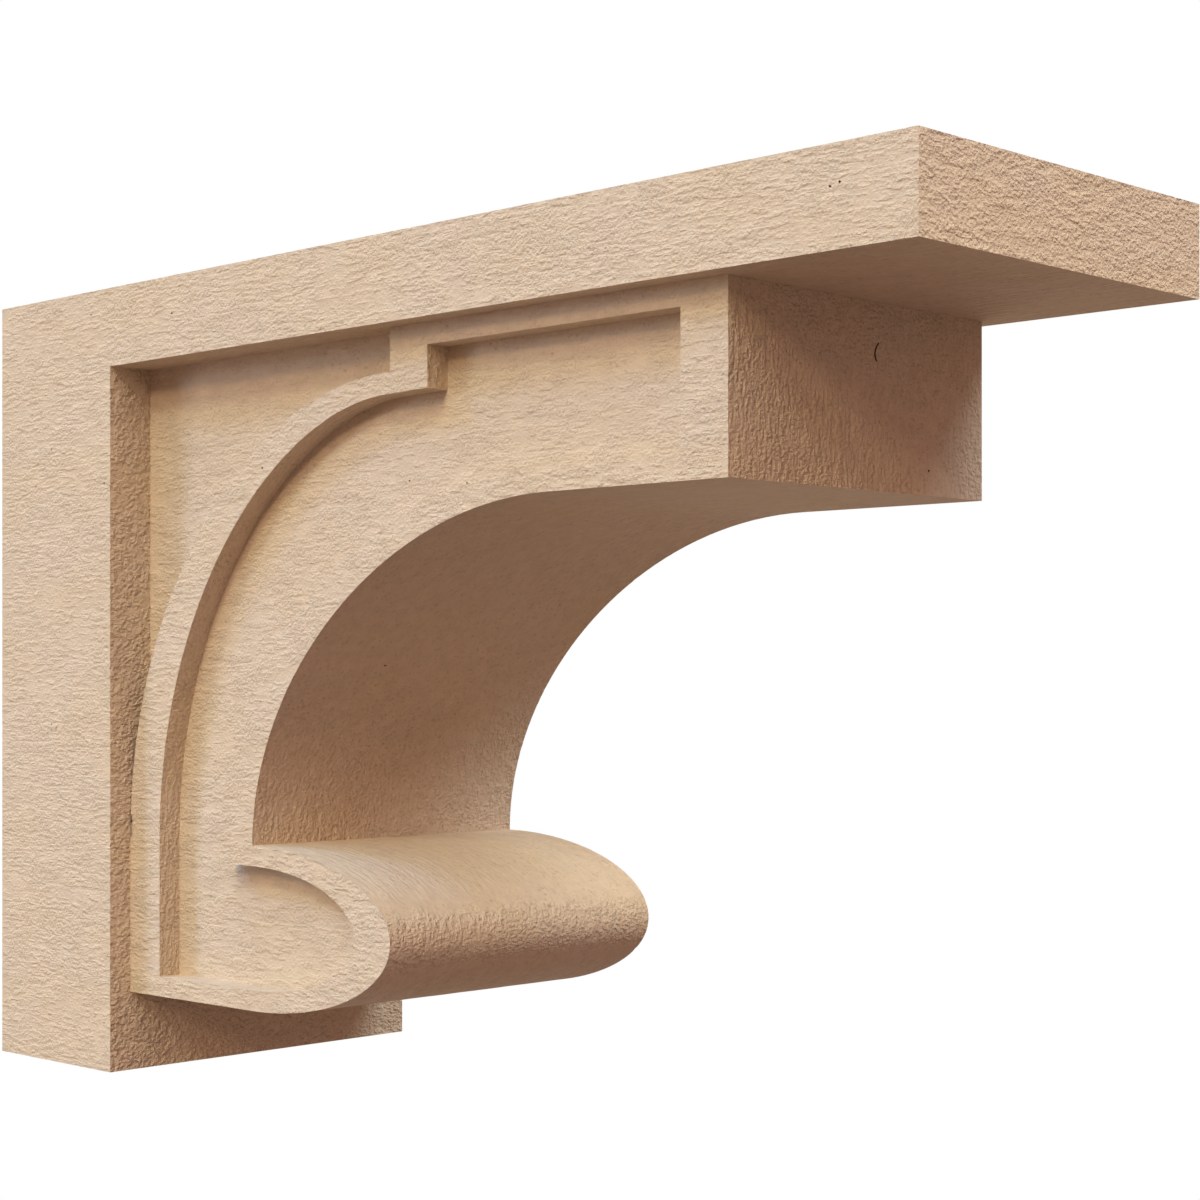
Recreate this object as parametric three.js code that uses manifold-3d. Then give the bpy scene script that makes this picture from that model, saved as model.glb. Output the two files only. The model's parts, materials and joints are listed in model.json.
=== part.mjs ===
import * as THREE from 'three';
import { mergeVertices } from 'three/addons/utils/BufferGeometryUtils.js';
import Module from 'manifold-3d';

const wasm = await Module();
wasm.setup();

// A corbel of one piece: a thick slab against the wall, a thin slab on top that reaches out from it,
// and a narrower body between them, with an arched band, a sunk panel, a cove and a rounded nose.
// X runs out from the wall, Y along the wall and Z up. The origin is the middle of the back face.

const inch = (count) => count * 25.4;

// The two slabs
const WIDTH = inch(6);
const HEIGHT = inch(12);
const REACH = inch(18);
const WALL_SLAB = inch(3);
const TOP_SLAB = inch(1.2);

// The body between the slabs
const BODY_WIDTH = inch(5.25);
const BODY_REACH = inch(15);
const BODY_CLEARANCE = inch(1.2);
const FRONT_HEIGHT = inch(2.4);

// The cove under the body, from the flat soffit down to its foot on the nose
const COVE_REACH = inch(6);
const COVE_DROP = inch(4.8);
const COVE_FULLNESS = 0.52;

// The nose is half an ellipse, as tall as what is left under the cove
const NOSE_REACH = inch(3);

// The arched band rises from the wall slab to a short upright post under the top slab
const BAND_REACH = inch(6);
const BAND_POST = inch(0.6);
const BAND_FULLNESS = 0.545;

// The raised border round the body's side, and how deep the faces lie behind it
const BORDER_ALONG = inch(0.75);
const BORDER_UP = inch(0.3);
const SINK = inch(0.375);

// Points on each curve, and how far joined pieces run into each other
const CURVE_STEPS = 40;
const JOIN = inch(0.4);

const base = -HEIGHT / 2;
const ceiling = HEIGHT / 2 - TOP_SLAB;
const soffit = ceiling - FRONT_HEIGHT;
const coveFoot = { x: BODY_REACH - (COVE_REACH + NOSE_REACH), z: soffit - COVE_DROP };
const underside = base + BODY_CLEARANCE;
const noseHalf = (coveFoot.z - underside) / 2;
const bandPost = WALL_SLAB + BAND_REACH;
const bandTop = ceiling - BAND_POST;

/** Runs a path from the body's underside round the nose, up the cove and along the soffit to the front. */
function followFront(path) {
    path.lineTo(coveFoot.x, underside);
    path.absellipse(coveFoot.x, underside + noseHalf, NOSE_REACH, noseHalf, -Math.PI / 2, Math.PI / 2);
    path.bezierCurveTo(
        coveFoot.x, coveFoot.z + COVE_DROP * COVE_FULLNESS,
        coveFoot.x + COVE_REACH * (1 - COVE_FULLNESS), soffit,
        coveFoot.x + COVE_REACH, soffit,
    );
    path.lineTo(BODY_REACH, soffit);
}

/** Runs a path from the post's foot down the outside of the arched band to the wall slab. */
function followBand(path) {
    path.bezierCurveTo(
        bandPost - BAND_REACH * BAND_FULLNESS, bandTop,
        WALL_SLAB, coveFoot.z + (bandTop - coveFoot.z) * BAND_FULLNESS,
        WALL_SLAB, coveFoot.z,
    );
}

/** The two slabs seen from the side. */
function slabOutline() {
    const outline = new THREE.Shape();
    outline.moveTo(0, base);
    outline.lineTo(WALL_SLAB, base);
    outline.lineTo(WALL_SLAB, ceiling);
    outline.lineTo(REACH, ceiling);
    outline.lineTo(REACH, HEIGHT / 2);
    outline.lineTo(0, HEIGHT / 2);
    return outline;
}

/** The whole body seen from the side, run into both slabs. */
function bodyOutline() {
    const outline = new THREE.Shape();
    outline.moveTo(WALL_SLAB - JOIN, underside);
    followFront(outline);
    outline.lineTo(BODY_REACH, ceiling + JOIN);
    outline.lineTo(WALL_SLAB - JOIN, ceiling + JOIN);
    return outline;
}

/** The spandrel above the arched band, run into both slabs. */
function spandrelOutline() {
    const outline = new THREE.Shape();
    outline.moveTo(bandPost, ceiling + JOIN);
    outline.lineTo(bandPost, bandTop);
    followBand(outline);
    outline.lineTo(WALL_SLAB - 2 * JOIN, coveFoot.z);
    outline.lineTo(WALL_SLAB - 2 * JOIN, ceiling + 2 * JOIN);
    outline.lineTo(bandPost, ceiling + 2 * JOIN);
    return outline;
}

/** The outer edge of the raised border: the body's side below the arched band. */
function borderPoints() {
    const outline = new THREE.Shape();
    outline.moveTo(WALL_SLAB, underside);
    followFront(outline);
    outline.lineTo(BODY_REACH, ceiling);
    outline.lineTo(bandPost, ceiling);
    outline.lineTo(bandPost, bandTop);
    followBand(outline);
    return distinct(outline.getPoints(CURVE_STEPS));
}

/** Drops points that repeat the one before them, and a last point that repeats the first. */
function distinct(points) {
    return points.filter((point, i) => {
        const before = points[(i + points.length - 1) % points.length];
        return point.distanceTo(before) > 1e-6;
    });
}

/**
 * The sunk panel: the border's outer edge moved inwards. The border is wider along X than along Z,
 * so the move is an even one in a space where X is squeezed by their ratio.
 */
function panelOutline() {
    const squeeze = BORDER_UP / BORDER_ALONG;
    const points = borderPoints().map((point) => new THREE.Vector2(point.x * squeeze, point.y));
    const inner = points.map((point, i) => {
        const before = points[(i + points.length - 1) % points.length];
        const after = points[(i + 1) % points.length];
        const inwardsIn = inwardNormal(before, point);
        const inwardsOut = inwardNormal(point, after);
        const mitre = inwardsIn.clone().add(inwardsOut);
        mitre.multiplyScalar(2 * BORDER_UP / mitre.lengthSq());
        return new THREE.Vector2((point.x + mitre.x) / squeeze, point.y + mitre.y);
    });
    return new THREE.Shape(inner);
}

/** The unit normal on the left of a line, which is the inner side of an outline that runs anticlockwise. */
function inwardNormal(from, to) {
    const along = to.clone().sub(from).normalize();
    return new THREE.Vector2(-along.y, along.x);
}

/** A solid of a side outline that is `thick` across, with its middle at `middle` along Y. */
function across(outline, thick, middle = 0) {
    const geometry = new THREE.ExtrudeGeometry(outline, {
        depth: thick,
        bevelEnabled: false,
        curveSegments: CURVE_STEPS,
    });
    geometry.rotateX(Math.PI / 2);
    geometry.translate(0, middle + thick / 2, 0);
    return toSolid(geometry);
}

/** A closed geometry as a solid for joining and cutting. */
function toSolid(geometry) {
    geometry.deleteAttribute('normal');
    geometry.deleteAttribute('uv');
    const merged = mergeVertices(geometry, 1e-4);
    return new wasm.Manifold(new wasm.Mesh({
        numProp: 3,
        vertProperties: merged.attributes.position.array,
        triVerts: merged.index.array,
    }));
}

/** A joined and cut solid as a geometry. */
function toGeometry(solid) {
    const mesh = solid.getMesh();
    const geometry = new THREE.BufferGeometry();
    geometry.setAttribute('position', new THREE.BufferAttribute(mesh.vertProperties, 3));
    geometry.setIndex(new THREE.BufferAttribute(mesh.triVerts, 1));
    geometry.computeVertexNormals();
    return geometry;
}

/** The body with the spandrel and the panel sunk into both of its sides. */
function carvedBody() {
    let body = across(bodyOutline(), BODY_WIDTH);
    const cutThick = SINK + JOIN;
    for (const side of [-1, 1]) {
        const middle = side * (BODY_WIDTH / 2 - SINK + cutThick / 2);
        body = body.subtract(across(spandrelOutline(), cutThick, middle));
        body = body.subtract(across(panelOutline(), cutThick, middle));
    }
    return body;
}

const sawnTimber = new THREE.MeshStandardMaterial({ color: 0xd2a67c, roughness: 0.9, metalness: 0 });

const corbel = new THREE.Mesh(toGeometry(across(slabOutline(), WIDTH).add(carvedBody())), sawnTimber);
corbel.name = 'corbel';

const part = new THREE.Group();
part.add(corbel);

export default part;
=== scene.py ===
"""A rough-sawn timber corbel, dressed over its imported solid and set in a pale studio.

X runs out from the wall, Y along the wall and Z up, all in metres. The origin is the middle of the
back face, which lies flat on the wall. The finishes and pits are given in millimetres instead.
"""

import json
import logging
import math
from collections.abc import Callable
from dataclasses import dataclass, field
from enum import Enum

import bmesh
import bpy
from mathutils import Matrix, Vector
from mathutils.kdtree import KDTree

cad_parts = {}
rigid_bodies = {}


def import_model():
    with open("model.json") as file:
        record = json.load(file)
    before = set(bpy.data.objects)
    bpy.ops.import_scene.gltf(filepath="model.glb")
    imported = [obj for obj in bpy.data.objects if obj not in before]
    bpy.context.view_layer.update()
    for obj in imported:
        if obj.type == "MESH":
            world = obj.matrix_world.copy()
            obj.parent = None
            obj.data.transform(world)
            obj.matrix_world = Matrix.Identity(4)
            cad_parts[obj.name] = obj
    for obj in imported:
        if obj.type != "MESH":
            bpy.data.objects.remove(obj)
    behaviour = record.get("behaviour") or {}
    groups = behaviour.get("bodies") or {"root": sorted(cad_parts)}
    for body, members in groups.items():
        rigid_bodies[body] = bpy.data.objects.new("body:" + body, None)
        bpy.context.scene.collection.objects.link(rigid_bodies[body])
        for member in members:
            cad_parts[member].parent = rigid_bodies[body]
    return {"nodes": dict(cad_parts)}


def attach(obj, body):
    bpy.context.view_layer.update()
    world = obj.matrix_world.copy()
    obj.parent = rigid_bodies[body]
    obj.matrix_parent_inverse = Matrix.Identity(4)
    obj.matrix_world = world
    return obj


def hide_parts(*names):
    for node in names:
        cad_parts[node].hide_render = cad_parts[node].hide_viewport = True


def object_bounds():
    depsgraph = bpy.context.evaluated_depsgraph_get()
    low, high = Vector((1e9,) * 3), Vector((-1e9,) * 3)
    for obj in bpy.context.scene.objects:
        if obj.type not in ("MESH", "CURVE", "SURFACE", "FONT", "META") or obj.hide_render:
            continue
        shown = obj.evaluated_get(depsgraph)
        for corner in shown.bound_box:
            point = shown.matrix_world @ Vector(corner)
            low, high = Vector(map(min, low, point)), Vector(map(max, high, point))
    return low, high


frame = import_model()
solid_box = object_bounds()

logging.basicConfig(level=logging.INFO, format="%(name)s: %(message)s")
log = logging.getLogger("corbel")

MILLIMETRE = 0.001
# Marks the faces in and round the pits for the pit colour, which is partly painted shade and partly dirt.
PIT_MARK = "pit"
WHITE = (1.0, 1.0, 1.0, 1.0)

# How much of a face's normal lies along an axis that it faces mostly, clearly, squarely or exactly
MOSTLY = 0.7
CLEARLY = 0.9
SQUARELY = 0.9999
EXACTLY = 0.99999

Place = tuple[float, float, float]
Colour = tuple[float, float, float]
Span = tuple[float, float]
Socket = bpy.types.NodeSocket
Value = Socket | float


class Axis(Enum):
    """The three axes of the part, each with its index in a vector."""

    OUT = 0
    ALONG = 1
    UP = 2


class Face(Enum):
    """The faces that carry the same relief."""

    SIDE = "side_faces"
    END = "end_faces"
    SWEPT = "swept_faces"

    def holds(self, normal: Vector) -> bool:
        """Tells whether a face is of this kind.

        Args:
            normal: The face's normal.

        Returns:
            Whether it is.
        """
        if abs(normal.y) > MOSTLY:
            return self is Face.SIDE
        if abs(normal.x) > EXACTLY:
            return self is Face.END
        return self is Face.SWEPT


class Grain(Enum):
    """The patterns that a relief layer may take, as Blender's texture types."""

    LUMPS = "CLOUDS"
    TEARS = "MUSGRAVE"


def deselect_all() -> None:
    """Leaves no object selected, because an operator acts on all that is."""
    bpy.ops.object.select_all(action="DESELECT")


def take(piece: bpy.types.Object) -> None:
    """Makes one object the only selected one and the active one.

    Args:
        piece: The object to work on.
    """
    deselect_all()
    piece.select_set(True)
    bpy.context.view_layer.objects.active = piece


class Bench:
    """Adds and joins the shader nodes of one material."""

    def __init__(self, name: str) -> None:
        """Starts an empty material.

        Args:
            name: The material's name.
        """
        self.material = bpy.data.materials.new(name)
        self.material.use_nodes = True
        self.tree = self.material.node_tree
        self.tree.nodes.clear()

    def add(
        self, kind: str, feeds: dict[str | int, object] | None = None, **settings: object,
    ) -> bpy.types.Node:
        """Adds a node.

        Args:
            kind: The node's type.
            feeds: Values or sockets for its inputs, by name or index.
            **settings: Properties of the node itself.

        Returns:
            The new node.
        """
        node = self.tree.nodes.new(kind)
        for name, value in settings.items():
            setattr(node, name, value)
        for key, value in (feeds or {}).items():
            self.feed(node.inputs[key], value)
        return node

    def feed(self, socket: Socket, value: object) -> None:
        """Links a socket to an input, or sets the input's own value.

        Args:
            socket: The input.
            value: The socket or the value that it takes.
        """
        if isinstance(value, Socket):
            self.tree.links.new(value, socket)
        else:
            socket.default_value = value

    def work_out(self, operation: str, *values: Value) -> Socket:
        """Runs a Math node on up to three values.

        Args:
            operation: The node's operation, such as ADD.
            *values: Its inputs, in order.

        Returns:
            The result's socket.
        """
        return self.add("ShaderNodeMath", dict(enumerate(values)), operation=operation).outputs[0]

    def spread(self, value: Value, low: float, high: float, start: Value = 0.0, end: Value = 1.0) -> Socket:
        """Maps a value from one range smoothly to another, and clamps it.

        Args:
            value: What to map.
            low: The value that gives start.
            high: The value that gives end.
            start: The result at low.
            end: The result at high.

        Returns:
            The result's socket.
        """
        feeds = {"Value": value, "From Min": low, "From Max": high, "To Min": start, "To Max": end}
        node = self.add("ShaderNodeMapRange", feeds, interpolation_type="SMOOTHSTEP")
        return node.outputs["Result"]

    def blend(self, share: Value, first: Value, second: Value) -> Socket:
        """Mixes two numbers.

        Args:
            share: How much of the second, from 0 to 1.
            first: The value at 0.
            second: The value at 1.

        Returns:
            The mixed value's socket.
        """
        node = self.add("ShaderNodeMix", {0: share, 2: first, 3: second}, data_type="FLOAT")
        return node.outputs[0]

    def tint(self, share: Value, first: object, second: object) -> Socket:
        """Mixes two colours.

        Args:
            share: How much of the second, from 0 to 1.
            first: The colour at 0.
            second: The colour at 1.

        Returns:
            The mixed colour's socket.
        """
        node = self.add("ShaderNodeMix", {0: share, 6: first, 7: second}, data_type="RGBA")
        return node.outputs[2]

    def stretched(self, place: Socket, size: Place, shift: Place = (0.0, 0.0, 0.0)) -> Socket:
        """Stretches a place in millimetres, so that a pattern of size 1 becomes one of this size.

        Args:
            place: The place's socket, in millimetres.
            size: The pattern's size along each axis, in millimetres.
            shift: How far the pattern is moved, in its own sizes.

        Returns:
            The stretched place's socket.
        """
        feeds = {"Vector": place, "Location": shift, "Scale": tuple(1 / part for part in size)}
        return self.add("ShaderNodeMapping", feeds).outputs[0]

    def noise(
        self, place: Socket, size: Place, detail: float = 1.0, harshness: float = 0.5,
        shift: Place = (0.0, 0.0, 0.0),
    ) -> Socket:
        """Gives smooth noise between about 0 and 1.

        Args:
            place: The place's socket, in millimetres.
            size: How wide its lumps are along each axis, in millimetres.
            detail: How many finer layers it holds.
            harshness: How strong each finer layer is.
            shift: How far the pattern is moved, in its own sizes.

        Returns:
            The noise's socket.
        """
        spot = self.stretched(place, size, shift)
        feeds = {"Vector": spot, "Scale": 1.0, "Detail": detail, "Roughness": harshness}
        return self.add("ShaderNodeTexNoise", feeds).outputs[0]

    def dots(self, place: Socket, size: Place, radius: float, core: float = 0.3) -> Socket:
        """Gives scattered round dots: 1 at their cores, 0 past their radius.

        Args:
            place: The place's socket, in millimetres.
            size: How far apart they are along each axis, in millimetres.
            radius: Their radius, as a part of that size.
            core: The core's radius, as a part of the whole radius.

        Returns:
            The dots' socket.
        """
        feeds = {"Vector": self.stretched(place, size), "Scale": 1.0}
        gap = self.add("ShaderNodeTexVoronoi", feeds).outputs["Distance"]
        return self.spread(gap, core * radius, radius, 1.0, 0.0)


@dataclass(frozen=True)
class Sawing:
    """How the saw left one kind of face. Sizes and depths are in millimetres.

    Attributes:
        fur: The size of the furred fibres' tufts along each axis.
        fur_depth: How deep the fur is.
        rows: The size of the saw's rows along each axis.
        rows_depth: How deep the rows are.
        patches: The size of the coarse patches along each axis.
        evenness: How much of the fur the smooth patches keep, from 0 to 1.
        hollow_shade: How much painted shade the deepest places of the fur get, from 0 to 1.
    """

    fur: Place
    fur_depth: float
    rows: Place
    rows_depth: float
    patches: Place
    evenness: float
    # Painted shade: how far the hollows between the tufts are darkened.
    hollow_shade: float


@dataclass(frozen=True)
class SawnTimber:
    """Unfinished rough-sawn timber: matt, light tan, and furred by the saw. Sizes are in millimetres.

    Attributes:
        name: The material's name.
        yellow: The colour of the raised fibres where they are yellowest.
        pink: Their colour where they are pinkest.
        painted_shade: The colour of the painted shade deep between the tufts and in the specks.
        pit: The colour in and round the pinholes and torn spots: partly painted shade in the holes, partly
            dirt.
        wander: How wide the yellow and the pink places are.
        wander_turn: The noise where the timber is yellowest, and where it is pinkest.
        cloud: How wide the lighter and darker places are.
        cloud_turn: The noise where the timber is darkest, and where it is lightest.
        mottle: How much lighter or darker they are.
        speck_gap: How far apart the specks are, dots of painted shade that stand for tiny pits and tears
            with no relief.
        speck_radius: Their radius, as a part of that gap.
        speck_group: How wide the groups are in which they lie.
        speck_turn: The noise where a group starts, and where it is full.
        speck: How far they take the colour of painted shade, from 0 to 1.
        matt: The least and the greatest roughness of the fibres.
        grit: How wide the places of one roughness are.
        grit_turn: The noise where the fibres are least rough, and where they are roughest.
        gloss: The shader's specular level.
        ragged: How wide the teeth are where two kinds of face meet on a curve.
        raggedness: How far the teeth reach, as a part of the surface's lean.
        calm_reach: How far from that meeting the sawing is back at full depth, as a part of the lean.
        calm_least: How much of the sawing is left at the meeting, from 0 to 1.
        slab_foot: The height of the thin top slab's underside.
        slab_reach: How far the wall slab reaches out.
        rows_share: How much the rows, against the patches, settle where the fur is coarse, from 0 to 1.
        coarse: The mixed rows and patches where the fur starts to be coarse, and where it is coarsest.
        hollow: The fur's height where a hollow starts, and where it is deepest.
        side: How the sides are sawn.
        level: How the level faces are sawn.
        end: How the body's own upright ends are sawn.
        butt: How the top slab's end is sawn.
        post: How the wall slab's end is sawn.
    """

    name: str = "rough_sawn_timber"
    yellow: Colour = (0.585, 0.4577, 0.32495)
    pink: Colour = (0.585, 0.46092, 0.3417)
    # The colour of painted shade, for the hollows between the tufts and for the specks.
    painted_shade: Colour = (0.33, 0.225, 0.145)
    # Partly painted shade in the holes, partly dirt.
    pit: Colour = (0.10, 0.06, 0.035)
    wander: Place = (60.0, 40.0, 30.0)
    wander_turn: Span = (0.35, 0.65)
    cloud: Place = (7.0, 5.0, 4.0)
    cloud_turn: Span = (0.25, 0.75)
    mottle: float = 0.05
    speck_gap: Place = (5.0, 5.0, 3.4)
    speck_radius: float = 0.24
    speck_group: Place = (18.0, 18.0, 9.0)
    speck_turn: Span = (0.48, 0.62)
    speck: float = 0.45
    matt: Span = (0.78, 0.96)
    grit: Place = (3.0, 3.0, 2.0)
    grit_turn: Span = (0.3, 0.7)
    gloss: float = 0.15
    ragged: Place = (9.0, 9.0, 5.0)
    raggedness: float = 0.5
    calm_reach: float = 0.45
    calm_least: float = 0.15
    slab_foot: float = 121.9
    slab_reach: float = 77.0
    rows_share: float = 0.6
    coarse: Span = (0.40, 0.60)
    hollow: Span = (0.46, 0.28)
    side: Sawing = Sawing(
        fur=(0.92, 1.2, 1.05), fur_depth=0.82, rows=(6.0, 2.0, 1.6), rows_depth=0.04,
        patches=(18.0, 16.0, 10.0), evenness=0.4, hollow_shade=0.3,
    )
    level: Sawing = Sawing(
        fur=(2.2, 1.3, 1.6), fur_depth=0.38, rows=(20.0, 1.7, 4.0), rows_depth=0.26,
        patches=(30.0, 26.0, 14.0), evenness=0.5, hollow_shade=0.42,
    )
    end: Sawing = Sawing(
        fur=(1.4, 1.5, 1.15), fur_depth=1.25, rows=(1.4, 1.8, 5.0), rows_depth=0.28,
        patches=(22.0, 30.0, 14.0), evenness=0.5, hollow_shade=0.48,
    )
    butt: Sawing = Sawing(
        fur=(1.3, 1.35, 1.1), fur_depth=1.0, rows=(2.0, 7.0, 2.6), rows_depth=0.35,
        patches=(12.0, 24.0, 12.0), evenness=0.7, hollow_shade=0.3,
    )
    post: Sawing = Sawing(
        fur=(1.5, 1.6, 1.2), fur_depth=1.5, rows=(1.6, 3.0, 2.5), rows_depth=0.18,
        patches=(22.0, 30.0, 14.0), evenness=0.4, hollow_shade=0.35,
    )

    def material(self) -> bpy.types.Material:
        """Builds the material.

        Returns:
            The finished material.
        """
        bench = Bench(self.name)
        source = bench.add("ShaderNodeTexCoord")
        scaled = bench.add("ShaderNodeVectorMath", {0: source.outputs["Object"]}, operation="SCALE")
        scaled.inputs["Scale"].default_value = 1 / MILLIMETRE
        place = scaled.outputs[0]
        kinds, calm = self.facing(bench, source.outputs["Normal"], place)
        height, hollow_shade = self.surface(bench, place, kinds, calm)
        shader = bench.add("ShaderNodeBsdfPrincipled")
        shader.inputs["Specular IOR Level"].default_value = self.gloss
        bench.feed(shader.inputs["Base Color"], self.colour(bench, place, hollow_shade))
        grit = bench.noise(place, self.grit)
        bench.feed(shader.inputs["Roughness"], bench.spread(grit, *self.grit_turn, *self.matt))
        bump = bench.add("ShaderNodeBump", {"Height": height, "Distance": MILLIMETRE, "Strength": 1.0})
        bench.feed(shader.inputs["Normal"], bump.outputs[0])
        output = bench.add("ShaderNodeOutputMaterial")
        bench.feed(output.inputs["Surface"], shader.outputs[0])
        return bench.material

    def facing(self, bench: Bench, normal: Socket, place: Socket) -> tuple[tuple[Socket, ...], Socket]:
        """Tells the kinds of face apart, with a ragged change on the curved ones.

        Args:
            bench: The bench that holds the material.
            normal: The surface's normal.
            place: The place's socket, in millimetres.

        Returns:
            Four sockets, each 0 or 1, of which the last 1 holds: the surface is level, an upright end, the
            top slab's end, the wall slab's end. Then how much of the sawing is left, which is little where
            one kind turns into another on a curve.
        """
        parts = bench.add("ShaderNodeSeparateXYZ", {0: normal}).outputs
        spot = bench.add("ShaderNodeSeparateXYZ", {0: place}).outputs
        out, along, up = (bench.work_out("ABSOLUTE", part) for part in parts)
        across = bench.work_out("LESS_THAN", along, MOSTLY)
        teeth = bench.noise(place, self.ragged)
        lean = bench.work_out("SUBTRACT", bench.work_out("MULTIPLY_ADD", teeth, self.raggedness, out), up)
        meeting = self.raggedness / 2
        is_end = bench.work_out("MULTIPLY", bench.work_out("GREATER_THAN", lean, meeting), across)
        is_butt = bench.work_out("MULTIPLY", bench.work_out("GREATER_THAN", spot[2], self.slab_foot), is_end)
        is_post = bench.work_out("MULTIPLY", bench.work_out("LESS_THAN", spot[0], self.slab_reach), is_end)
        gap = bench.work_out("ABSOLUTE", bench.work_out("SUBTRACT", lean, meeting))
        calm = bench.blend(across, 1.0, bench.spread(gap, 0.0, self.calm_reach, self.calm_least, 1.0))
        return (across, is_end, is_butt, is_post), calm

    def pick(self, bench: Bench, kinds: tuple[Socket, ...], part: str) -> Socket:
        """Picks one measure of the sawing by the kind of face.

        Args:
            bench: The bench that holds the material.
            kinds: Which kind of face it is, as facing returns it.
            part: The measure's name. A size comes as one over it, ready to scale a place.

        Returns:
            The measure's socket.
        """
        sawings = (self.side, self.level, self.end, self.butt, self.post)
        picked, *others = (getattr(sawing, part) for sawing in sawings)
        if isinstance(picked, float):
            for kind, measure in zip(kinds, others):
                picked = bench.blend(kind, picked, measure)
            return picked
        picked = tuple(1 / size for size in picked)
        for kind, sizes in zip(kinds, others):
            feeds = {0: kind, 4: picked, 5: tuple(1 / size for size in sizes)}
            picked = bench.add("ShaderNodeMix", feeds, data_type="VECTOR").outputs[1]
        return picked

    def pattern(
        self, bench: Bench, place: Socket, scale: Socket, detail: float, harshness: float = 0.5,
        shift: float = 0.0,
    ) -> Socket:
        """Gives noise whose size depends on the kind of face.

        Args:
            bench: The bench that holds the material.
            place: The place's socket, in millimetres.
            scale: One over the pattern's size along each axis.
            detail: How many finer layers it holds.
            harshness: How strong each finer layer is.
            shift: How far the pattern is moved, in its own sizes.

        Returns:
            The noise's socket.
        """
        feeds = {0: place, 1: scale, 2: (shift, shift, shift)}
        spot = bench.add("ShaderNodeVectorMath", feeds, operation="MULTIPLY_ADD").outputs[0]
        feeds = {"Vector": spot, "Scale": 1.0, "Detail": detail, "Roughness": harshness}
        return bench.add("ShaderNodeTexNoise", feeds).outputs[0]

    def surface(
        self, bench: Bench, place: Socket, kinds: tuple[Socket, ...], calm: Socket,
    ) -> tuple[Socket, Socket]:
        """Lays the fur over the saw's rows, deeper in the coarse rows and patches.

        Args:
            bench: The bench that holds the material.
            place: The place's socket, in millimetres.
            kinds: Which kind of face it is, as facing returns it.
            calm: How much of the sawing is left.

        Returns:
            The height in millimetres, and how much painted shade the place gets in the hollows, from 0 to 1.
        """
        fur = self.pattern(bench, place, self.pick(bench, kinds, "fur"), detail=1.6, harshness=0.55)
        rows = self.pattern(bench, place, self.pick(bench, kinds, "rows"), detail=2.0, shift=3.1)
        patches = self.pattern(bench, place, self.pick(bench, kinds, "patches"), detail=1.0, shift=5.3)
        rest = bench.work_out("MULTIPLY", patches, 1 - self.rows_share)
        mixed = bench.work_out("MULTIPLY_ADD", rows, self.rows_share, rest)
        share = bench.spread(mixed, *self.coarse, self.pick(bench, kinds, "evenness"), 1.0)
        deep = bench.work_out("MULTIPLY", fur, self.pick(bench, kinds, "fur_depth"))
        height = bench.work_out("MULTIPLY", deep, share)
        height = bench.work_out("MULTIPLY_ADD", rows, self.pick(bench, kinds, "rows_depth"), height)
        height = bench.work_out("MULTIPLY", height, calm)
        hollow = bench.work_out("MULTIPLY", bench.spread(fur, *self.hollow), share)
        # The low places of the fur are darkened as painted shade in the hollows.
        return height, bench.work_out("MULTIPLY", hollow, self.pick(bench, kinds, "hollow_shade"))

    def colour(self, bench: Bench, place: Socket, hollow_shade: Socket) -> Socket:
        """Lets the tan wander slightly, paints shade into the hollows and the specks, and darkens the pits
        with partly painted shade, partly dirt.

        Args:
            bench: The bench that holds the material.
            place: The place's socket, in millimetres.
            hollow_shade: How much painted shade the place gets in the hollows, from 0 to 1.

        Returns:
            The colour's socket.
        """
        wander = bench.noise(place, self.wander, shift=(0.0, 0.0, 8.0))
        turned = bench.spread(wander, *self.wander_turn)
        base = bench.tint(turned, (*self.yellow, 1.0), (*self.pink, 1.0))
        cloud = bench.noise(place, self.cloud, detail=2.0, harshness=0.6, shift=(3.0, 0.0, 0.0))
        shade = bench.spread(cloud, *self.cloud_turn, 1.0 - self.mottle, 1.0 + self.mottle)
        base = bench.add("ShaderNodeVectorMath", {0: base, "Scale": shade}, operation="SCALE").outputs[0]
        # The specks are painted shade: darker dots, in groups, where tiny pits and tears would lie in shade.
        specks = bench.dots(place, self.speck_gap, self.speck_radius)
        groups = bench.spread(bench.noise(place, self.speck_group), *self.speck_turn)
        torn = bench.work_out("MULTIPLY", bench.work_out("MULTIPLY", specks, groups), self.speck)
        # The hollows and the specks are darkened towards the colour of painted shade.
        base = bench.tint(bench.work_out("MAXIMUM", hollow_shade, torn), base, (*self.painted_shade, 1.0))
        # The pits' faces take the pit colour: partly painted shade in the holes, partly dirt.
        pit = bench.add("ShaderNodeAttribute", attribute_name=PIT_MARK).outputs["Fac"]
        return bench.tint(pit, base, (*self.pit, 1.0))


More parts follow.
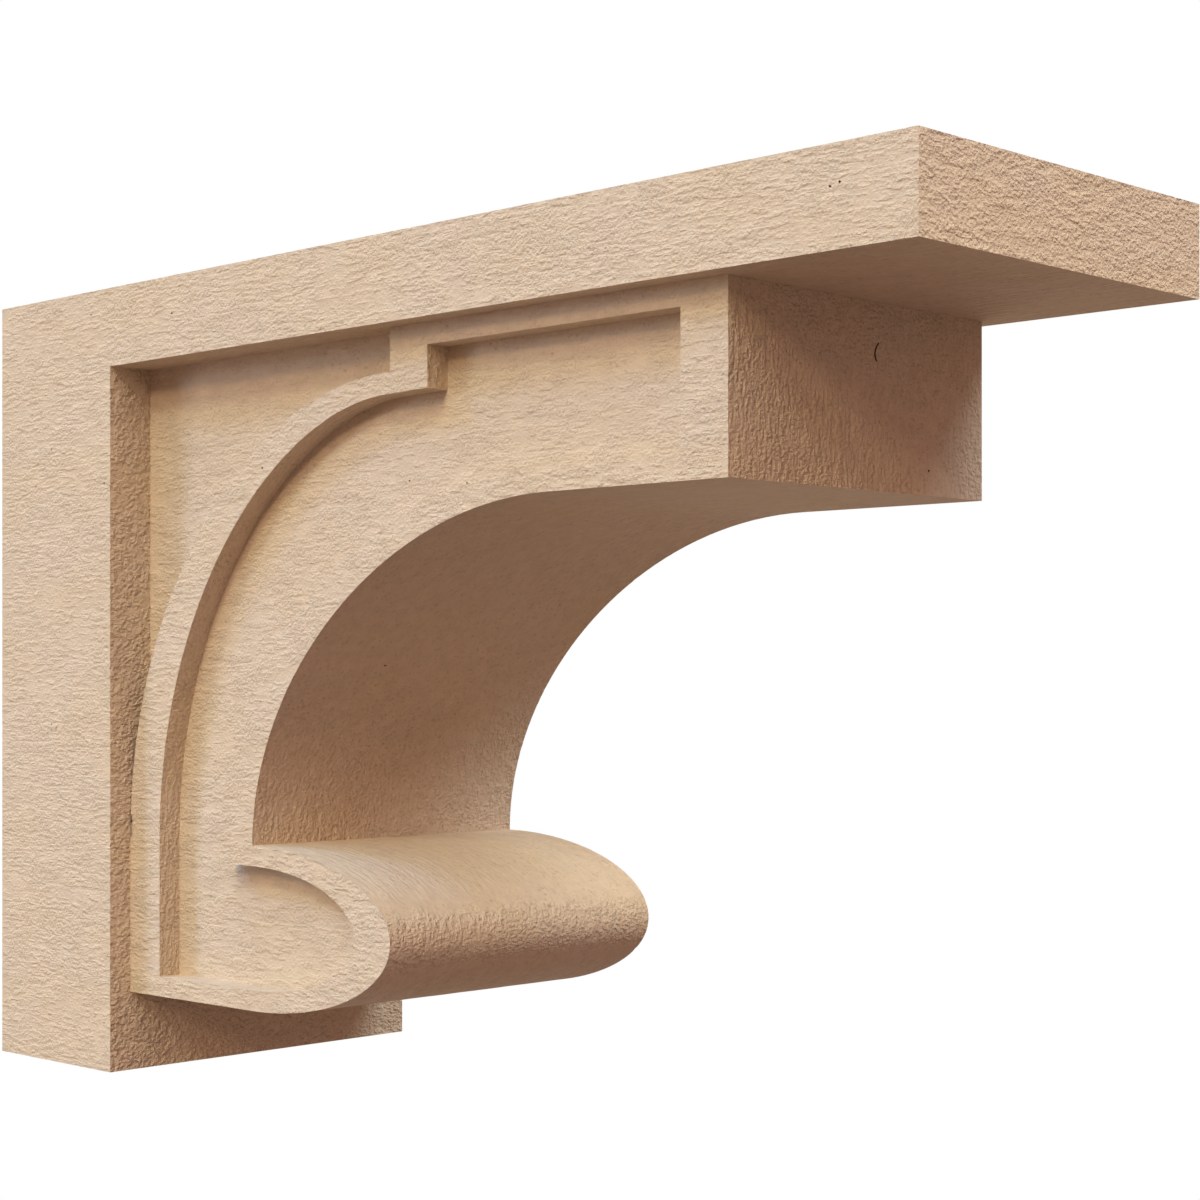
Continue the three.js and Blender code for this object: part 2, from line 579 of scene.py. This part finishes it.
@dataclass(frozen=True)
class Relief:
    """One layer of the sawn surface's real relief.

    Attributes:
        name: What the layer is.
        face: The faces that it covers.
        grain: Its pattern.
        size: How wide the pattern is along each axis, in metres.
        depth: How far it moves the surface in all, in metres. A negative one moves it inwards.
        middle: The pattern's value that leaves the surface where it is.
        contrast: How sharply the pattern turns from high to low.
    """

    name: str
    face: Face
    grain: Grain
    size: Place
    depth: float
    middle: float = 0.5
    contrast: float = 1.0

    def carve(self, piece: bpy.types.Object) -> None:
        """Moves the piece's surface by this layer.

        Args:
            piece: The object to carve, with a vertex group for each kind of face.
        """
        texture = bpy.data.textures.new(self.name, self.grain.value)
        texture.noise_scale = 1.0
        texture.contrast = self.contrast
        if self.grain is Grain.TEARS:
            texture.musgrave_type = "RIDGED_MULTIFRACTAL"
            texture.octaves = 3.0
        else:
            texture.noise_depth = 2
        deselect_all()
        bpy.ops.object.empty_add(location=(0.0, 0.0, 0.0))
        gauge = bpy.context.object
        gauge.scale = self.size
        bpy.context.view_layer.update()
        take(piece)
        bpy.ops.object.modifier_add(type="DISPLACE")
        layer = piece.modifiers[-1]
        layer.name = self.name
        layer.texture = texture
        layer.texture_coords = "OBJECT"
        layer.texture_coords_object = gauge
        layer.vertex_group = self.face.value
        layer.direction = "NORMAL"
        layer.mid_level = self.middle
        layer.strength = self.depth
        bpy.ops.object.modifier_apply(modifier=self.name)
        bpy.data.objects.remove(gauge)
        bpy.data.textures.remove(texture)


@dataclass(frozen=True)
class Pit:
    """A pinhole or a torn spot in the timber.

    Attributes:
        name: What the pit is.
        spots: Where its holes lie on the piece, in millimetres.
        width: How wide each hole is, in millimetres.
        depth: How deep each hole is, in millimetres.
    """

    name: str
    spots: tuple[Place, ...]
    width: float = 1.1
    depth: float = 1.3

    def bore(self, piece: bpy.types.Object) -> None:
        """Moves the grid's nearest points to the spots, opens the surface there and sinks the openings.

        Args:
            piece: The object to bore.
        """
        points = KDTree(len(piece.data.vertices))
        for point in piece.data.vertices:
            points.insert(point.co, point.index)
        points.balance()
        spots = [Vector(spot) * MILLIMETRE for spot in self.spots]
        chosen = {points.find(spot)[1]: spot for spot in spots}
        take(piece)
        bpy.ops.object.mode_set(mode="EDIT")
        bpy.ops.mesh.select_mode(type="VERT")
        mesh = bmesh.from_edit_mesh(piece.data)
        for point in mesh.verts:
            point.select_set(point.index in chosen)
            if point.select:
                way = chosen[point.index] - point.co
                point.co += way - way.project(point.normal)
        mesh.select_flush_mode()
        bmesh.update_edit_mesh(piece.data)
        self.open_up()
        sink = {"value": -self.depth * MILLIMETRE}
        bpy.ops.mesh.extrude_region_shrink_fatten(TRANSFORM_OT_shrink_fatten=sink)
        bpy.ops.mesh.select_more()
        bpy.ops.object.mode_set(mode="OBJECT")
        # The pits and the ring of faces round them get the pit colour, partly painted shade and partly dirt.
        mark = piece.data.attributes[PIT_MARK]
        for face in piece.data.polygons:
            if face.select:
                mark.data[face.index].value = 1.0

    def open_up(self) -> None:
        """Opens the surface round each selected point."""
        bpy.ops.mesh.bevel(offset=self.width / 2 * MILLIMETRE, affect="VERTICES")


class Crack(Pit):
    """A crack that runs from spot to spot, which are neighbours on the grid."""

    def open_up(self) -> None:
        """Opens the surface along the edges between the selected points."""
        bpy.ops.mesh.select_mode(type="EDGE")
        bpy.ops.mesh.bevel(offset=self.width / 2 * MILLIMETRE, affect="EDGES")


@dataclass
class Corbel:
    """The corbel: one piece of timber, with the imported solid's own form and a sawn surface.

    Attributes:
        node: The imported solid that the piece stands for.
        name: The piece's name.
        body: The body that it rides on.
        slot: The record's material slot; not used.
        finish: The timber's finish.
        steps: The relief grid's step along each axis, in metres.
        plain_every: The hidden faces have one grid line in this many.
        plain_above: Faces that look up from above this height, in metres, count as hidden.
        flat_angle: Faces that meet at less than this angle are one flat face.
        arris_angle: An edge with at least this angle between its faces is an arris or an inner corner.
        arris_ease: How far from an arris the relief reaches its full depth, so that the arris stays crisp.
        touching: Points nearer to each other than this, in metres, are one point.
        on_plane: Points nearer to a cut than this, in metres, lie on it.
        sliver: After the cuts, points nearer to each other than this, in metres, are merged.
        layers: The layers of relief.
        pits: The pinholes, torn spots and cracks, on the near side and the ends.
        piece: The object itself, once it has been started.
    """

    node: str = "corbel"
    name: str = "corbel_rough_sawn"
    body: str = "root"
    slot: str = "rough_sawn_wood"
    finish: SawnTimber = field(default_factory=SawnTimber)
    steps: Place = (0.0035, 0.0024, 0.00115)
    plain_every: int = 3
    plain_above: float = 0.15
    flat_angle: float = math.radians(0.5)
    arris_angle: float = math.radians(45)
    arris_ease: float = 0.004
    touching: float = 1e-6
    on_plane: float = 1e-5
    sliver: float = 0.00025
    layers: tuple[Relief, ...] = (
        Relief("side_swell", Face.SIDE, Grain.LUMPS, (0.030, 0.012, 0.012), 0.00030),
        Relief("side_lumps", Face.SIDE, Grain.LUMPS, (0.006, 0.004, 0.004), 0.00026),
        Relief("side_tears", Face.SIDE, Grain.TEARS, (0.016, 0.006, 0.006), -0.00008, 0.8, 1.6),
        Relief("end_swell", Face.END, Grain.LUMPS, (0.010, 0.008, 0.016), 0.00025),
        Relief("end_lumps", Face.END, Grain.LUMPS, (0.005, 0.0045, 0.0045), 0.00022),
        Relief("swept_swell", Face.SWEPT, Grain.LUMPS, (0.012, 0.012, 0.012), 0.00020),
    )
    pits: tuple[Pit, ...] = (
        Pit("top_slab_pinholes", ((63.3, -76.2, 143.3), (116.1, -76.2, 138.2))),
        Pit("wall_slab_pinholes", ((36.2, -76.2, 92.2), (72.0, -76.2, 76.8))),
        Pit("slab_notch", ((426.7, -76.2, 140.2), (430.2, -76.2, 140.9)), depth=0.9),
        Pit("knot", ((36.2, -76.2, -20.0), (36.2, -76.2, -17.8), (39.5, -76.2, -19.0)), 1.0, 0.8),
        Pit("band_pinhole", ((158.2, -66.675, 77.8),)),
        Pit("panel_pinholes", ((228.4, -57.15, 69.4), (257.2, -57.15, 67.0), (124.5, -57.15, 22.1)), 0.9),
        Pit("front_pinhole", ((381.0, 36.1, 69.2),)),
        Crack(
            "front_crack",
            (
                (381.0, 8.3, 108.7), (381.0, 7.3, 107.6), (381.0, 6.6, 106.4),
                (381.0, 6.3, 105.3), (381.0, 6.4, 104.1), (381.0, 7.0, 103.0),
            ),
            0.7,
            0.8,
        ),
        Pit("cove_pinhole", ((179.5, -25.2, 5.5),), 1.8, 1.0),
    )
    piece: bpy.types.Object | None = None

    def build(self) -> bpy.types.Object:
        """Makes the piece, from the copied solid to the finished surface.

        Returns:
            The finished piece.
        """
        self.copy_solid()
        arrises = self.copy_arrises()
        self.cut_grid()
        self.mark_faces()
        self.ease_to(arrises)
        for layer in self.layers:
            layer.carve(self.piece)
        self.piece.data.attributes.new(PIT_MARK, "FLOAT", "FACE")
        for pit in self.pits:
            pit.bore(self.piece)
        self.mark_arrises()
        self.dress()
        return self.piece

    def copy_solid(self) -> None:
        """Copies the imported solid, merges its loose triangles and dissolves what splits its flat faces."""
        take(frame["nodes"][self.node])
        bpy.ops.object.duplicate()
        self.piece = bpy.context.object
        bpy.ops.object.parent_clear(type="CLEAR_KEEP_TRANSFORM")
        for key in list(self.piece.keys()):
            del self.piece[key]
        self.piece.name = self.name
        self.piece.data.name = self.name
        bpy.ops.object.mode_set(mode="EDIT")
        bpy.ops.mesh.select_all(action="SELECT")
        bpy.ops.mesh.remove_doubles(threshold=self.touching)
        bpy.ops.mesh.dissolve_limited(angle_limit=self.flat_angle)
        bpy.ops.object.mode_set(mode="OBJECT")

    def copy_arrises(self) -> bpy.types.Object:
        """Copies the solid's arrises and inner corners as bare edges.

        Returns:
            The object that holds them.
        """
        take(self.piece)
        bpy.ops.object.duplicate()
        arrises = bpy.context.object
        arrises.name = "arrises"
        bpy.ops.object.mode_set(mode="EDIT")
        bpy.ops.mesh.select_mode(type="EDGE")
        bpy.ops.mesh.select_all(action="DESELECT")
        bpy.ops.mesh.edges_select_sharp(sharpness=self.arris_angle)
        bpy.ops.mesh.select_all(action="INVERT")
        bpy.ops.mesh.delete(type="EDGE")
        bpy.ops.mesh.select_all(action="SELECT")
        bpy.ops.mesh.delete(type="ONLY_FACE")
        bpy.ops.object.mode_set(mode="OBJECT")
        take(self.piece)
        return arrises

    def stops(self, axis: Axis) -> list[float]:
        """Lists the places along an axis where the solid has a face square to it.

        Args:
            axis: The axis to look along.

        Returns:
            The places in order, in metres.
        """
        faces = self.piece.data.polygons
        square = [face for face in faces if abs(face.normal[axis.value]) > SQUARELY]
        return sorted({round(face.center[axis.value], 6) for face in square})

    def cuts(self, axis: Axis) -> list[float]:
        """Spaces the grid's cuts evenly between the stops of an axis.

        Args:
            axis: The axis to cut across.

        Returns:
            The cuts' places in order, in metres.
        """
        stops = self.stops(axis)
        places = []
        for start, end in zip(stops, stops[1:]):
            count = max(1, round((end - start) / self.steps[axis.value]))
            places += [start + (end - start) * step / count for step in range(count)]
        return places[1:]

    def cut_grid(self) -> None:
        """Cuts the faces into the grid that carries the relief, with a coarser one on the hidden faces.

        A gap narrower than the merging distance closes into a film inside the timber, which is deleted.
        """
        cuts = {axis: self.cuts(axis) for axis in (Axis.UP, Axis.OUT, Axis.ALONG)}
        bpy.ops.object.mode_set(mode="EDIT")
        for axis, places in cuts.items():
            self.cut(axis, places[::self.plain_every])
        bpy.ops.mesh.select_all(action="DESELECT")
        self.select_faces(self.is_hidden)
        bpy.ops.mesh.hide(unselected=False)
        for axis, places in cuts.items():
            self.cut(axis, [place for i, place in enumerate(places) if i % self.plain_every])
        bpy.ops.mesh.reveal(select=False)
        bpy.ops.mesh.select_all(action="SELECT")
        bpy.ops.mesh.remove_doubles(threshold=self.sliver)
        while self.select_faces(lambda face: any(edge.is_boundary for edge in face.edges)):
            bpy.ops.mesh.delete(type="FACE")
        bpy.ops.object.mode_set(mode="OBJECT")

    def cut(self, axis: Axis, places: list[float]) -> None:
        """Bisects all visible faces at each place.

        Args:
            axis: The axis that the cuts are square to.
            places: Where they cross it, in metres.
        """
        normal = [0.0, 0.0, 0.0]
        normal[axis.value] = 1.0
        for place in places:
            point = [place * part for part in normal]
            bpy.ops.mesh.select_all(action="SELECT")
            bpy.ops.mesh.bisect(plane_co=point, plane_no=normal, threshold=self.on_plane)

    def is_back(self, face: bmesh.types.BMFace) -> bool:
        """Tells whether a face lies on the wall.

        Args:
            face: The face.

        Returns:
            Whether it does.
        """
        return face.normal.x < -CLEARLY and face.calc_center_median().x < MILLIMETRE

    def is_hidden(self, face: bmesh.types.BMFace) -> bool:
        """Tells whether a face looks towards the wall, or lies under what the corbel carries.

        Args:
            face: The face.

        Returns:
            Whether it is hidden.
        """
        is_on_top = face.normal.z > CLEARLY and face.calc_center_median().z > self.plain_above
        return face.normal.x < -CLEARLY or is_on_top

    def select_faces(self, wanted: Callable[[bmesh.types.BMFace], bool]) -> int:
        """Selects the faces for which a test holds, in edit mode.

        Args:
            wanted: A function that takes a face and tells whether to select it.

        Returns:
            How many faces it selected.
        """
        bpy.ops.mesh.select_mode(type="FACE")
        mesh = bmesh.from_edit_mesh(self.piece.data)
        for face in mesh.faces:
            face.select_set(wanted(face))
        mesh.select_flush_mode()
        bmesh.update_edit_mesh(self.piece.data)
        return sum(face.select for face in mesh.faces)

    def mark_faces(self) -> None:
        """Gives each kind of face a vertex group, and leaves out the back face, so that it stays flat."""
        bpy.ops.object.mode_set(mode="EDIT")
        for kind in Face:
            bpy.ops.object.vertex_group_add()
            self.piece.vertex_groups[-1].name = kind.value
            self.select_faces(lambda face, kind=kind: kind.holds(face.normal))
            bpy.ops.object.vertex_group_assign()
        self.select_faces(self.is_back)
        bpy.ops.object.vertex_group_remove_from(use_all_groups=True)
        bpy.ops.object.mode_set(mode="OBJECT")

    def ease_to(self, arrises: bpy.types.Object) -> None:
        """Lets the relief fade out towards the arrises and inner corners.

        Args:
            arrises: The object that holds them, which is used up.
        """
        for kind in Face:
            bpy.ops.object.modifier_add(type="VERTEX_WEIGHT_PROXIMITY")
            ease = self.piece.modifiers[-1]
            ease.vertex_group = kind.value
            ease.target = arrises
            ease.proximity_mode = "GEOMETRY"
            ease.proximity_geometry = {"EDGE"}
            ease.min_dist = 0.0
            ease.max_dist = self.arris_ease
            ease.falloff_type = "SMOOTH"
            bpy.ops.object.modifier_apply(modifier=ease.name)
        bpy.data.objects.remove(arrises)

    def mark_arrises(self) -> None:
        """Marks the arrises, the inner corners and the pits' rims as sharp."""
        take(self.piece)
        bpy.ops.object.mode_set(mode="EDIT")
        bpy.ops.mesh.select_mode(type="EDGE")
        bpy.ops.mesh.select_all(action="DESELECT")
        bpy.ops.mesh.edges_select_sharp(sharpness=self.arris_angle)
        bpy.ops.mesh.mark_sharp()
        bpy.ops.object.mode_set(mode="OBJECT")

    def dress(self) -> None:
        """Smooths the surface between its arrises, gives it its finish and fits it to the frame."""
        take(self.piece)
        bpy.ops.object.shade_smooth()
        self.piece.data.materials.clear()
        self.piece.data.materials.append(self.finish.material())
        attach(self.piece, self.body)
        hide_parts(self.node)


@dataclass(frozen=True)
class Lamp:
    """A far, broad panel of light.

    Attributes:
        name: What the lamp is.
        azimuth: Where it stands, in degrees from the -Y side towards +X.
        elevation: How high it stands, in degrees.
        spread: How wide it looks from the part, in degrees.
        strength: How much light it gives.
        colour: Its colour.
        distance: How far off it hangs, in metres, which doesn't change its light.
    """

    name: str
    azimuth: float
    elevation: float
    spread: float
    strength: float
    colour: Colour
    distance: float = 3.0

    def hang(self) -> None:
        """Hangs the lamp."""
        turn, rise = math.radians(self.azimuth), math.radians(self.elevation)
        towards = Vector((math.sin(turn) * math.cos(rise), -math.cos(turn) * math.cos(rise), math.sin(rise)))
        aim = towards.to_track_quat("Z", "Y").to_euler()
        deselect_all()
        bpy.ops.object.light_add(type="SUN", location=towards * self.distance, rotation=aim)
        lamp = bpy.context.object
        lamp.name = self.name
        lamp.data.angle = math.radians(self.spread)
        lamp.data.energy = self.strength * math.pi
        lamp.data.color = self.colour


@dataclass
class Studio:
    """A white studio with a pale floor, its lamps and the photograph's camera.

    Attributes:
        floor_drop: How far the floor lies under the part, in metres.
        floor_size: The floor's side, in metres.
        azimuth: Where the camera stands, in degrees from the -Y side towards +X.
        distance: How far it stands from the middle of the part's length, in metres.
        lens: Its focal length, in millimetres.
        sensor: Its sensor's width, in millimetres.
        shift: How far its view is shifted, in frame widths.
        dim: The colour of the light from all round.
        dim_strength: How much of that light there is.
        lamps: The lamps.
    """

    floor_drop: float = 0.75
    floor_size: float = 60.0
    azimuth: float = 45.0
    distance: float = 0.8656
    lens: float = 71.01
    sensor: float = 36.0
    shift: Span = (0.0614, 0.0668)
    dim: Colour = (1.0, 0.70, 0.59)
    dim_strength: float = 0.309
    lamps: tuple[Lamp, ...] = (
        Lamp("front_panel", 15.0, 25.0, 10.0, 0.330, (1.0, 0.73, 0.46)),
        Lamp("front_high_panel", 15.0, 40.0, 10.0, 0.267, (1.0, 0.97, 0.63)),
        Lamp("corner_panel", 45.0, 60.0, 60.0, 0.432, (1.0, 0.74, 0.59)),
        Lamp("end_panel", 90.0, 25.0, 60.0, 0.126, (1.0, 0.45, 0.39)),
        Lamp("high_panel", 0.0, 60.0, 60.0, 0.506, (0.16, 0.70, 1.0)),
        Lamp("far_panel", 120.0, 50.0, 30.0, 0.704, (0.79, 0.95, 1.0)),
        Lamp("wall_side_lamp", -56.0, 0.0, 9.0, 0.168, (1.0, 0.87, 0.80)),
        Lamp("wall_side_cool_lamp", -46.0, 10.0, 9.0, 0.192, (0.63, 0.84, 1.0)),
        Lamp("wall_side_high_lamp", -51.0, 40.0, 9.0, 0.407, (0.19, 0.39, 1.0)),
        Lamp("back_panel", -135.0, -10.0, 60.0, 0.292, (1.0, 0.89, 0.69)),
    )

    def build(self) -> None:
        """Sets up the whole studio."""
        self.place_camera()
        self.lay_floor()
        self.paint_world()
        for lamp in self.lamps:
            lamp.hang()
        bpy.context.scene.view_settings.view_transform = "Standard"

    def place_camera(self) -> None:
        """Places the camera level with the middle of the part."""
        low, high = solid_box
        turn = math.radians(self.azimuth)
        upright = math.radians(90)
        middle = (low + high) / 2
        way = Vector((math.sin(turn), -math.cos(turn), 0.0))
        spot = Vector((middle.x, 0.0, middle.z)) + self.distance * way
        deselect_all()
        bpy.ops.object.camera_add(location=spot, rotation=(upright, 0.0, turn))
        camera = bpy.context.object
        camera.data.lens = self.lens
        camera.data.sensor_width = self.sensor
        camera.data.shift_x, camera.data.shift_y = self.shift
        bpy.context.scene.camera = camera

    def lay_floor(self) -> None:
        """Lays a pale floor well below the part."""
        deselect_all()
        height = solid_box[0].z - self.floor_drop
        bpy.ops.mesh.primitive_plane_add(size=self.floor_size, location=(0.0, 0.0, height))
        floor = bpy.context.object
        floor.name = "floor"
        bench = Bench("pale_floor")
        shine = bench.add("ShaderNodeEmission", {"Color": WHITE, "Strength": 1.0})
        bench.feed(bench.add("ShaderNodeOutputMaterial").inputs["Surface"], shine.outputs[0])
        floor.data.materials.append(bench.material)
        floor.visible_diffuse = False
        floor.visible_glossy = False
        floor.visible_shadow = False

    def paint_world(self) -> None:
        """Makes the world white to the camera, and dim and warm as a light."""
        world = bpy.data.worlds.new("white_studio")
        bpy.context.scene.world = world
        world.use_nodes = True
        tree = world.node_tree
        tree.nodes.clear()
        seen = tree.nodes.new("ShaderNodeBackground")
        seen.inputs["Color"].default_value = WHITE
        dim = tree.nodes.new("ShaderNodeBackground")
        dim.inputs["Color"].default_value = (*self.dim, 1.0)
        dim.inputs["Strength"].default_value = self.dim_strength
        path = tree.nodes.new("ShaderNodeLightPath")
        mix = tree.nodes.new("ShaderNodeMixShader")
        output = tree.nodes.new("ShaderNodeOutputWorld")
        tree.links.new(path.outputs["Is Camera Ray"], mix.inputs[0])
        tree.links.new(dim.outputs[0], mix.inputs[1])
        tree.links.new(seen.outputs[0], mix.inputs[2])
        tree.links.new(mix.outputs[0], output.inputs["Surface"])


def main() -> None:
    """Builds the studio and the corbel, and reports the piece."""
    Studio().build()
    piece = Corbel().build()
    piece.data.calc_loop_triangles()
    log.info("%s: %d triangles", piece.name, len(piece.data.loop_triangles))


if __name__ == "__main__":
    main()
